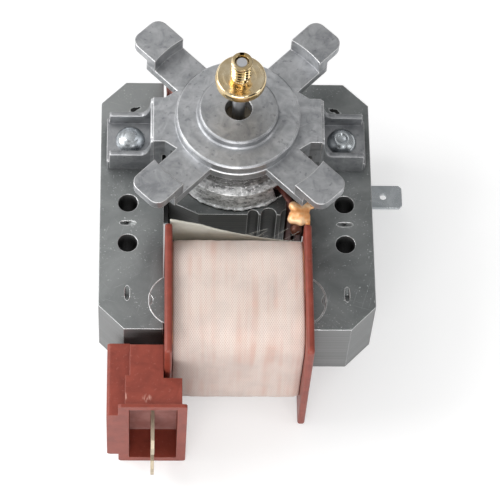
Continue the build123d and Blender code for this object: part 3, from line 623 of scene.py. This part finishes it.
def makeHub():
    hub = dict(flange=5.9, low=30.8, seat=33.3, collar=2.5, core=2.06, bore=1.52, mouth=1.62, mouthDepth=3.0, top=39.6,
               chamfer=0.2, pitch=1.08, threadLow=33.75, threadTurns=4.4, slotWidth=1.0, slotDepth=0.8, turnSteps=96)
    f, low, seat, top = hub["flange"], hub["low"], hub["seat"], hub["top"]
    c, core = hub["collar"], hub["core"]
    ringLow = top - 0.95
    points = [(hub["bore"], low), (f - 0.6, low), (f - 0.25, low + 0.08), (f, low + 0.4), (f, seat - 0.62),
              (f - 0.06, seat - 0.42), (f - 0.2, seat - 0.2), (f - 0.36, seat - 0.05), (f - 0.5, seat)]
    for radius in (5.3, 4.95, 4.4, 4.1, 3.5, 3.2):       # shallow turning marks
        points.append((radius, seat - (0.0 if int(radius * 10) % 2 else 0.03)))
    points += [(2.75, seat - 0.02), (core + 0.12, seat + 0.02), (core, seat + 0.12), (core, ringLow - 0.25),
               (c - 0.06, ringLow), (c, ringLow + 0.08), (c, top - hub["chamfer"]), (c - 0.04, top - 0.08),
               (c - 0.12, top - 0.015), (c - 0.18, top), (hub["mouth"] + 0.05, top), (hub["mouth"], top - 0.05),
               (hub["mouth"], top - hub["mouthDepth"]), (hub["bore"], top - hub["mouthDepth"] - 0.1)]
    work = bmesh.new()
    spinProfile(work, points + points[:1], hub["turnSteps"])
    # the slot is a pocket in the ring's end, on the side away from the coil
    rim = [face for face in work.faces
           if face.calc_center_median().z > (top - 0.02) * mm + stackFront
           and face.calc_center_median().y > 0 and abs(face.calc_center_median().x) < hub["slotWidth"] / 2 * mm]
    bmesh.ops.inset_region(work, faces=rim, thickness=0.015 * mm, use_even_offset=True)
    pushOut(work, rim, (0, 0, -hub["slotDepth"] * mm))
    bmesh.ops.delete(work, geom=rim, context="FACES")
    # one ridge, wound round the core as a screw
    p = hub["pitch"]
    section = [(core - 0.12, 0.0), (core - 0.12, 0.86 * p), (c - 0.03, 0.52 * p), (c, 0.43 * p), (c - 0.03, 0.34 * p)]
    verts = [work.verts.new(at(radius, 0, height + hub["threadLow"])) for radius, height in section]
    face = work.faces.new(verts)
    steps = int(hub["threadTurns"] * 64)
    bmesh.ops.spin(work, geom=verts + list(face.edges) + [face], cent=(0, 0, 0), axis=(0, 0, 1),
                   dvec=(0, 0, p / 64 * mm), angle=2 * math.pi * hub["threadTurns"], steps=steps, use_merge=False)
    piece = addPiece("brassHub", work, "brass", "rotor", ["brass_hub"], crease=32)
    piece.data.materials.append(slotShade)
    for face in piece.data.polygons:
        spot = face.center / mm
        if abs(spot.x) < 0.53 and 1.56 < spot.y < 2.36 and top - 1.0 < spot.z + seatHeight < top - 0.01:
            face.material_index = 1


# Rivets: domed heads with a small flat, one of them dimpled

def makeRivets():
    rivet = dict(x=25.4, foot=3.5, shank=1.85, tail=3.3, tailHeight=1.5, back=-23.5, tab=0.8)
    for name, side, tabUnder in (("rivetLeft", -1, 0), ("rivetRight", 1, 1)):
        foot = rivet["foot"]
        bottom = rivet["back"] - rivet["tab"] * tabUnder
        if side < 0:
            crown = [(0, foot + 1.92), (1.15, foot + 1.95), (1.42, foot + 1.90), (1.55, foot + 1.78), (2.0, foot + 1.72),
                     (2.6, foot + 1.45), (3.1, foot + 1.0), (3.42, foot + 0.5), (3.5, foot + 0.12), (3.42, foot)]
        else:
            crown = [(0, foot + 1.35), (0.7, foot + 1.40), (1.15, foot + 1.62), (1.45, foot + 1.86), (1.62, foot + 1.90),
                     (1.82, foot + 1.82), (2.3, foot + 1.62), (2.9, foot + 1.15), (3.32, foot + 0.55), (3.5, foot + 0.12),
                     (3.42, foot)]
        tail = rivet["tail"]
        drop = rivet["tailHeight"]
        points = crown + [(rivet["shank"], foot), (rivet["shank"], bottom), (tail - 0.1, bottom), (tail, bottom - 0.15),
                          (tail - 0.15, bottom - drop * 0.6), (tail - 0.7, bottom - drop * 0.95),
                          (tail - 1.1, bottom - drop), (0, bottom - drop)]
        work = bmesh.new()
        spinProfile(work, points, 64, (side * rivet["x"], 0))
        addPiece(name, work, "zinc_plate", replaced=["rivet_left" if side < 0 else "rivet_right"], crease=40)


# Coil former: its flanges' outlines are rounded

def makeFormer():
    former = dict(round=0.62, segments=4, inside=15.2, margin=1.03)
    work = copyOf("coil_former")
    low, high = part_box("coil_former")

    def onOutline(edge):
        spot = (edge.verts[0].co + edge.verts[1].co) / 2
        reach = former["margin"] * mm
        near = (spot.y > high[1] - reach or spot.y < low[1] + reach or spot.z > high[2] - reach or spot.z < low[2] + reach)
        return near and abs(spot.x) > former["inside"] * mm

    sharp = [edge for edge in sharpEdges(work, 60) if onOutline(edge)]
    roundEdges(work, sharp, former["round"], former["segments"], False)
    bmesh.ops.remove_doubles(work, verts=work.verts, dist=2e-6)
    addPiece("coilFormer", work, "former_plastic", replaced=["coil_former"], crease=35)


# Tape: a sleeve wound over the coil, a little crowned and wrinkled

def makeTape():
    tape = dict(middle=(-41.05, -10.0), half=(15.25, 14.84, 18.14), corner=8.14, wall=0.4, cuts=72, crown=0.16,
                wrinkle=0.14, edgeWave=0.08, edgeDrop=0.18)
    halfX, halfY, halfZ = tape["half"]
    r = tape["corner"]
    flatY, flatZ = halfY - r, halfZ - r
    work = bmesh.new()
    bmesh.ops.create_cube(work, size=1.0)
    bmesh.ops.scale(work, verts=work.verts, vec=(2 * halfX * mm, 2 * halfY * mm, 2 * halfZ * mm))
    ends = [face for face in work.faces if abs(face.normal.x) > 0.9]
    bmesh.ops.delete(work, geom=ends, context="FACES_ONLY")
    long = [edge for edge in work.edges if abs(edge.verts[0].co.x - edge.verts[1].co.x) > 1e-4]
    roundEdges(work, long, r, 14, False)
    for axis, count in ((1, 11), (2, 15)):
        wide = [edge for edge in work.edges if abs(edge.verts[0].co[axis] - edge.verts[1].co[axis]) > 10 * mm
                and abs(edge.verts[0].co.x - edge.verts[1].co.x) < 1e-6]
        bmesh.ops.subdivide_edges(work, edges=wide, cuts=count)
    across = [edge for edge in work.edges if abs(edge.verts[0].co.x - edge.verts[1].co.x) > 10 * mm]
    bmesh.ops.subdivide_edges(work, edges=across, cuts=tape["cuts"])
    bmesh.ops.recalc_face_normals(work, faces=work.faces)

    def around(y, z):                # length round the sleeve from the middle of its front
        y, z = abs(y) / mm, z / mm
        if z > flatZ and y <= flatY:
            return y
        if z > flatZ:
            return flatY + r * math.atan2(y - flatY, z - flatZ)
        if z >= -flatZ:
            return flatY + r * math.pi / 2 + flatZ - z
        if y > flatY:
            return flatY + r * math.pi / 2 + 2 * flatZ + r * math.atan2(-z - flatZ, y - flatY)
        return flatY + r * math.pi + 2 * flatZ + flatY - y

    wrap = work.loops.layers.uv.new("wrap")
    for face in work.faces:
        side = 1 if face.calc_center_median().y > 0 else -1
        for loop in face.loops:
            spot = loop.vert.co
            loop[wrap].uv = (spot.x, side * around(spot.y, spot.z) * mm)
    normals = {vert: vert.normal.copy() for vert in work.verts}
    for vert in work.verts:
        x, length = vert.co.x / mm, around(vert.co.y, vert.co.z) * (1 if vert.co.y > 0 else -1)
        share = x / halfX
        fold = noise.noise(Vector((x * 0.55, length * 0.05, 3.1)))
        fold += 0.5 * noise.noise(Vector((x * 1.6, length * 0.09, 7.7)))
        lump = noise.noise(Vector((x * 0.16, length * 0.13, 1.3)))
        rise = tape["crown"] * (1 - share * share) + tape["wrinkle"] * (fold * 0.6 + lump)
        rise -= tape["edgeDrop"] * max(0.0, abs(share) - 0.93) / 0.07
        vert.co += normals[vert] * (rise - tape["crown"]) * mm
        if abs(share) > 0.8:
            wave = noise.noise(Vector((0.35 * length, 0, 5.0 + (share > 0)))) * tape["edgeWave"]
            vert.co.x -= (abs(share) - 0.8) / 0.2 * (abs(wave) + 0.05) * mm * (1 if share > 0 else -1)
    bmesh.ops.translate(work, verts=work.verts, vec=at(0, *tape["middle"]))
    piece = addPiece("coilTape", work, "tape", replaced=["coil_tape"])
    thicken(piece, tape["wall"], -1)


# Film: a thin sheet cut on a slant, its edge frayed towards the right

def heightAt(points, place):         # read off a broken line through the points
    for (x0, z0), (x1, z1) in zip(points, points[1:]):
        if x0 <= place <= x1:
            share = (place - x0) / (x1 - x0)
            return z0 + (z1 - z0) * share
    return points[-1][1]


def makeFilm():
    film = dict(face=-25.62, side=15.9, low=-24.0, thickness=0.22, columns=120, rows=40, ragged=0.10)
    edge = [(-15.9, 11.2), (-12.3, 9.7), (-8.4, 8.1), (-4.5, 6.1), (-0.2, 4.5), (3.4, 3.45), (5.9, 2.4), (9.0, 1.5),
            (12.5, 0.8), (15.9, 0.3)]
    work = bmesh.new()
    bmesh.ops.create_grid(work, x_segments=film["columns"], y_segments=film["rows"], size=0.5)
    for vert in work.verts:
        x = vert.co.x * 2 * film["side"]
        share = vert.co.y + 0.5
        top = heightAt(edge, x) + film["ragged"] * noise.noise(Vector((x * 2.3, 0.4, 0.0)))
        z = film["low"] + (top - film["low"]) * share
        above = max(0.0, z) / 11.0
        bow = 0.30 * above * math.sin((x + 15.9) / 31.8 * math.pi * 2.2) * (1 if x < 6 else 0.4)
        ripple = 0.05 * noise.noise(Vector((x * 0.6, z * 0.35, 2.0)))
        vert.co = at(x, film["face"] + bow + ripple, z)
    piece = addPiece("insulationFilm", work, "film", replaced=["insulation_film"])
    thicken(piece, film["thickness"], 0)
    makeFibres(film["face"])


def makeFibres(face):
    fibre = dict(count=11, radius=0.024, firstX=1.0, lastX=11.5)
    random.seed(11)
    curve = bpy.data.curves.new("filmFibres", "CURVE")
    curve.dimensions = "3D"
    curve.bevel_depth = fibre["radius"] * mm
    curve.bevel_resolution = 1
    curve.use_fill_caps = True
    for number in range(fibre["count"]):
        share = number / (fibre["count"] - 1)
        x = fibre["firstX"] + (fibre["lastX"] - fibre["firstX"]) * share + random.uniform(-0.4, 0.4)
        z = 3.2 - 2.4 * share
        length = random.uniform(1.5, 3.4) if number % 3 else random.uniform(4.5, 8.0)
        lean = random.uniform(0.55, 0.95)
        spline = curve.splines.new("NURBS")
        spline.points.add(4)
        for step, point in enumerate(spline.points):
            along = step / 4
            spot = at(x + length * lean * along, face + 0.12 * math.sin(3 * along + number) - 0.25 * along,
                      z - 0.4 + length * (1.0 - 0.35 * lean) * along + 0.9 * along * (1 - along) * random.uniform(-0.4, 1))
            point.co = (*spot, 1)
        spline.order_u = 4
        spline.use_endpoint_u = True
    shape = newObject("fibreShape", curve)
    bpy.context.view_layer.update()
    mesh = bpy.data.meshes.new_from_object(shape.evaluated_get(bpy.context.evaluated_depsgraph_get()))
    bpy.data.objects.remove(shape)
    bpy.data.curves.remove(curve)
    addPiece("filmFibres", mesh, "film")


# Shading ring on the right: the lump of weld is melted copper, the wires are varnished

def makeWeld():
    weld = dict(node="shading_ring_right", centre=(14.8, -20.1, 4.6), half=(2.85, 3.0, 1.95), shrink=0.55, sink=0.8,
                voxel=0.13)
    balls = [(13.33, -18.25, 4.5, 1.22), (16.5, -18.35, 4.5, 1.12), (17.4, -18.55, 4.7, 0.62), (18.0, -18.7, 4.8, 0.40),
             (14.0, -19.3, 4.4, 1.40), (15.9, -19.4, 4.4, 1.35), (14.9, -19.9, 4.3, 1.55), (13.5, -20.7, 4.3, 1.45),
             (14.9, -21.0, 4.3, 1.70), (16.1, -20.9, 4.3, 1.30), (13.2, -21.5, 4.2, 1.38), (15.0, -22.0, 4.3, 1.30),
             (16.3, -21.9, 4.3, 1.10), (16.7, -22.8, 4.2, 0.65), (15.0, -22.9, 4.2, 0.60), (14.0, -23.3, 2.1, 1.50),
             (14.4, -19.0, 4.3, 1.3), (15.4, -19.0, 4.3, 1.2), (14.2, -20.3, 4.35, 1.5), (15.6, -20.3, 4.35, 1.4),
             (14.1, -21.6, 4.3, 1.4), (15.7, -21.6, 4.25, 1.3)]
    work = copyOf(weld["node"])
    centre = at(*weld["centre"])
    for vert in work.verts:
        away = vert.co - centre
        if all(abs(away[axis]) < (weld["half"][axis] + 0.05) * mm for axis in range(3)):
            vert.co = centre + away * weld["shrink"] - Vector((0, 0, weld["sink"] * mm))
    addPiece("shadingRingRight", work, "copper", replaced=[weld["node"]], crease=50, look=varnish)
    work = bmesh.new()
    for x, y, z, radius in balls:
        bmesh.ops.create_icosphere(work, subdivisions=3, radius=radius * mm, matrix=Matrix.Translation(at(x, y, z)))
    piece = addPiece("weldRight", work, "copper")
    remesh = piece.modifiers.new("melt", "REMESH")
    remesh.mode = "VOXEL"
    remesh.voxel_size = weld["voxel"] * mm
    bpy.context.view_layer.update()
    melted = bpy.data.meshes.new_from_object(piece.evaluated_get(bpy.context.evaluated_depsgraph_get()))
    work = bmesh.new()
    work.from_mesh(melted)
    for turn in range(22):
        bmesh.ops.smooth_vert(work, verts=work.verts, factor=0.5, use_axis_x=True, use_axis_y=True, use_axis_z=True)
    for vert in work.verts:
        bump = noise.noise(vert.co * 620) * 0.08 + noise.noise(vert.co * 1500) * 0.02
        vert.co += vert.normal * bump * mm
    piece.modifiers.clear()
    bmesh.ops.recalc_face_normals(work, faces=work.faces)
    work.to_mesh(piece.data)
    work.free()
    for face in piece.data.polygons:
        face.use_smooth = True


# Webs that run up from the ribs of the feet to the wings, and a lip along each wing

def makeWebs():
    web = dict(wall=19.8, lip=20.6, toe=30.41, low=0.4, rib=6.77, bend=(22.8, 12.6), radii=(2.2, 5.85), top=13.1,
               inner=4.69, outer=6.01, round=0.22, steps=14)
    for name, side in (("footWebsLeft", -1), ("footWebsRight", 1)):
        work = bmesh.new()
        for across in (-1, 1):
            outline = [(web["wall"], web["low"]), (web["toe"], web["low"]), (web["toe"], web["rib"] - 0.3),
                       (web["toe"] - 0.3, web["rib"])]
            for step in range(web["steps"] + 1):
                turn = math.pi / 2 * (1 - step / web["steps"])
                outline.append((web["bend"][0] - web["radii"][0] * math.cos(turn),
                                web["bend"][1] - web["radii"][1] * math.sin(turn)))
            outline += [(web["lip"] - 0.15, web["top"] - 0.08), (web["lip"] - 0.4, web["top"]), (web["wall"], web["top"])]
            verts = [work.verts.new(at(side * x, across * web["inner"], z)) for x, z in outline]
            face = work.faces.new(verts)
            pushOut(work, [face], (0, across * (web["outer"] - web["inner"]) * mm, 0))
        bmesh.ops.create_cube(work, size=1.0,
                              matrix=Matrix.Translation(at(side * (web["wall"] + web["lip"]) / 2, 0, web["top"] - 0.45))
                              @ Matrix.Diagonal(((web["lip"] - web["wall"]) * mm, 2 * web["inner"] * mm + 0.2 * mm,
                                                 0.9 * mm, 1)))
        bmesh.ops.recalc_face_normals(work, faces=work.faces)
        sharp = [edge for edge in sharpEdges(work, 50)
                 if max(abs(vert.co.x) for vert in edge.verts) > (web["wall"] + 0.1) * mm
                 and min(vert.co.z for vert in edge.verts) > at(0, 0, 5.5).z]
        roundEdges(work, sharp, web["round"], 3)
        addPiece(name, work, "cast_alloy", crease=40)


# Burr along the round ends of the bar, and the stack's metal staked into their hollows

def addBead(name, place, radius, bead, angles, rough, steps=90, stretch=(1, 1), patch=0.0):
    # a round bead along an arc about place, roughened, then stretched
    work = bmesh.new()
    start = at(place[0] + radius, place[1], place[2])
    whole = angles[1] - angles[0] >= 360
    bmesh.ops.create_circle(work, segments=8, radius=bead * mm, cap_ends=not whole,
                            matrix=Matrix.Translation(start) @ Matrix.Rotation(math.radians(90), 4, "X"))
    pivot = at(*place)
    bmesh.ops.rotate(work, verts=work.verts, cent=pivot, matrix=Matrix.Rotation(math.radians(angles[0]), 3, "Z"))
    bmesh.ops.spin(work, geom=work.verts[:] + work.edges[:] + work.faces[:], cent=pivot, axis=(0, 0, 1),
                   angle=math.radians(angles[1] - angles[0]), steps=steps, use_merge=whole)
    bmesh.ops.recalc_face_normals(work, faces=work.faces)
    for vert in work.verts:
        lump = noise.noise(vert.co * 900) + 0.6 * noise.noise(vert.co * 2600)
        lump += patch * noise.noise(vert.co * 260)
        vert.co += vert.normal * (rough * bead * lump) * mm
        vert.co = pivot + Vector(((vert.co.x - pivot.x) * stretch[0], (vert.co.y - pivot.y) * stretch[1],
                                  vert.co.z - pivot.z))
    addPiece(name, work, "zinc_plate", look=burrMetal)


def makeSeams():
    seam = dict(x=14.0, y=-41.05, reach=59, flashRadius=16.98, flashHeight=0.52)
    for name, side, radius, bead in (("seamLeft", -1, 6.75, 0.13), ("seamRight", 1, 6.95, 0.075),
                                     ("seamRightInner", 1, 6.60, 0.06)):
        middle = 0 if side > 0 else 180
        addBead(name, (side * seam["x"], seam["y"], 0.0), radius, bead, (middle - seam["reach"], middle + seam["reach"]),
                0.55)
    addBead("bellFlash", (0, 0, seam["flashHeight"]), seam["flashRadius"], 0.20, (0, 360), 1.5, 420, patch=1.5)
    mark = dict(x=25.8, upper=-20.675, lower=-39.3, long=2.0, short=0.72, bead=0.075)
    for name, side in (("Left", -1), ("Right", 1)):
        flat = mark["short"] / mark["long"]
        for level, y, stretch in (("Upper", mark["upper"], (1, flat)), ("Lower", mark["lower"], (flat, 1))):
            addBead("stakeLip" + level + name, (side * mark["x"], y, 0.0), mark["long"], mark["bead"], (0, 360), 0.9, 72,
                    stretch)


def makeStakes():
    stake = dict(x=21.7, y=-41.05, radius=1.84, barX=14.0, barRadius=6.64, top=-0.10, bottom=-19.9, round=0.10)
    for name, side in (("stakeLeft", -1), ("stakeRight", 1)):
        work = bmesh.new()
        bmesh.ops.create_circle(work, segments=72, radius=stake["radius"] * mm, cap_ends=True,
                                matrix=Matrix.Translation(at(side * stake["x"], stake["y"], stake["top"])))
        pivot = at(side * stake["barX"], stake["y"], stake["top"])
        for vert in work.verts:
            away = vert.co - pivot
            if away.length > stake["barRadius"] * mm:
                vert.co = pivot + away.normalized() * stake["barRadius"] * mm
        bmesh.ops.remove_doubles(work, verts=work.verts, dist=2e-5)
        pushOut(work, work.faces[:], (0, 0, (stake["bottom"] - stake["top"]) * mm))
        bmesh.ops.recalc_face_normals(work, faces=work.faces)
        rim = [edge for edge in sharpEdges(work, 60)
               if min(vert.co.z for vert in edge.verts) > stackFront - 0.2 * mm]
        roundEdges(work, rim, stake["round"], 3)
        addPiece(name, work, "lamination", crease=35)


makeHub()
makeRivets()
makeFormer()
makeTape()
makeFilm()
makeWeld()
makeWebs()
makeSeams()
makeStakes()
print("pieces made")


# The camera, solved from the stack's corners

viewOf = dict(place=(-22.87, -304.82, 494.04), elevation=62.1733, azimuth=-5.3560, roll=5.1953, lens=181.62)


def placeCamera():
    a, e, r = (math.radians(viewOf[key]) for key in ("azimuth", "elevation", "roll"))
    back = Vector((math.sin(a) * math.cos(e), -math.cos(a) * math.cos(e), math.sin(e)))
    right = Vector((math.cos(a), math.sin(a), 0))
    up = back.cross(right)
    turned = (math.cos(r) * right + math.sin(r) * up, -math.sin(r) * right + math.cos(r) * up, back)
    lens = bpy.data.cameras.new("camera")
    lens.lens = viewOf["lens"]
    lens.sensor_width = 36
    lens.clip_start = 0.01
    camera = newObject("camera", lens)
    rotation = Matrix(turned).transposed().to_4x4()
    camera.matrix_world = Matrix.Translation(Vector(viewOf["place"]) * mm) @ rotation
    bpy.context.scene.camera = camera


placeCamera()
print("camera placed")


# Floor, world and lamps

studio = dict(floorSize=3.0, floorGlow=0.42, floorColour=0.68, sky=0.62, skyLeft=0.20, skyFront=0.25,
              flags=[((-0.28, -0.46, 0.84), 12, 17, 0.0), ((0.74, -0.42, 0.52), 24, 30, 0.02)])


def makeFloor():
    work = bmesh.new()
    bmesh.ops.create_grid(work, x_segments=1, y_segments=1, size=studio["floorSize"])
    bmesh.ops.translate(work, verts=work.verts, vec=(0, 0, cadBox[0].z - 0.0002))
    mesh = meshFrom("floor", work)
    floor = newObject("floor", mesh)
    material = bpy.data.materials.new("floorPaper")
    material.use_nodes = True
    tree = material.node_tree
    tree.nodes.clear()
    diffuse = addNode(tree, "BsdfDiffuse", {"Color": (studio["floorColour"],) * 3 + (1,)})
    glow = addNode(tree, "Emission", {"Strength": studio["floorGlow"]})
    path = addNode(tree, "LightPath")
    seen = mathNode(tree, "MAXIMUM", path.outputs["Is Camera Ray"], path.outputs["Is Glossy Ray"])
    seen = mathNode(tree, "MAXIMUM", seen, path.outputs["Is Transmission Ray"])
    both = addNode(tree, "AddShader", {0: diffuse.outputs[0], 1: glow.outputs[0]})
    pick = addNode(tree, "MixShader", {0: seen, 1: diffuse.outputs[0], 2: both.outputs[0]})
    addNode(tree, "OutputMaterial", {"Surface": pick.outputs[0]})
    mesh.materials.append(material)


def makeWorld():
    world = bpy.data.worlds.new("studio")
    bpy.context.scene.world = world
    world.use_nodes = True
    tree = world.node_tree
    tree.nodes.clear()
    coord = addNode(tree, "TexCoord")
    split = addNode(tree, "SeparateXYZ", {"Vector": coord.outputs["Generated"]})
    left = times(tree, split.outputs["X"], -studio["skyLeft"])
    front = times(tree, split.outputs["Y"], -studio["skyFront"])
    lean = mathNode(tree, "ADD", left, front)
    level = mathNode(tree, "ADD", lean, studio["sky"])
    for toward, inner, outer, kept in studio["flags"]:
        dot = addNode(tree, "VectorMath", {0: coord.outputs["Generated"], 1: Vector(toward).normalized()},
                      operation="DOT_PRODUCT")
        shade = addNode(tree, "MapRange", {
            "Value": dot.outputs["Value"], "To Min": 1.0, "To Max": kept,
            "From Min": math.cos(math.radians(outer)), "From Max": math.cos(math.radians(inner))})
        level = times(tree, level, shade.outputs["Result"])
    dim = addNode(tree, "Background", {"Color": (1, 1, 1, 1), "Strength": level})
    white = addNode(tree, "Background", {"Color": (1, 1, 1, 1)})
    path = addNode(tree, "LightPath")
    pick = addNode(tree, "MixShader", {0: path.outputs["Is Camera Ray"], 1: dim.outputs[0], 2: white.outputs[0]})
    addNode(tree, "OutputWorld", {"Surface": pick.outputs[0]})


def addLamp(name, place, aim, size, power):
    data = bpy.data.lights.new(name, "AREA")
    data.shape = "RECTANGLE"
    data.size, data.size_y = size
    data.energy = power
    lamp = newObject(name, data)
    lamp.location = place
    lamp.rotation_euler = (Vector(aim) - Vector(place)).to_track_quat("-Z", "Y").to_euler()


makeFloor()
makeWorld()
centre = (0, -0.02, -0.03)
addLamp("leftBox", (-0.50, 0.02, 0.36), centre, (0.35, 0.35), 2.3)
addLamp("backBox", (-0.20, 0.21, 0.36), centre, (0.26, 0.26), 0.26)
addLamp("frontBox", (-0.12, -0.62, 0.22), centre, (0.5, 0.25), 2.1)
addLamp("rightBox", (0.55, -0.20, 0.30), centre, (0.2, 0.4), 0.5)
addLamp("glintBox", (0.15, -0.27, 0.44), centre, (0.06, 0.14), 0.12)
for tree in [*bpy.data.node_groups, *(material.node_tree for material in bpy.data.materials if material.use_nodes),
             bpy.context.scene.world.node_tree]:
    layOut(tree)
print("studio set")

bpy.context.scene.view_settings.view_transform = "Standard"
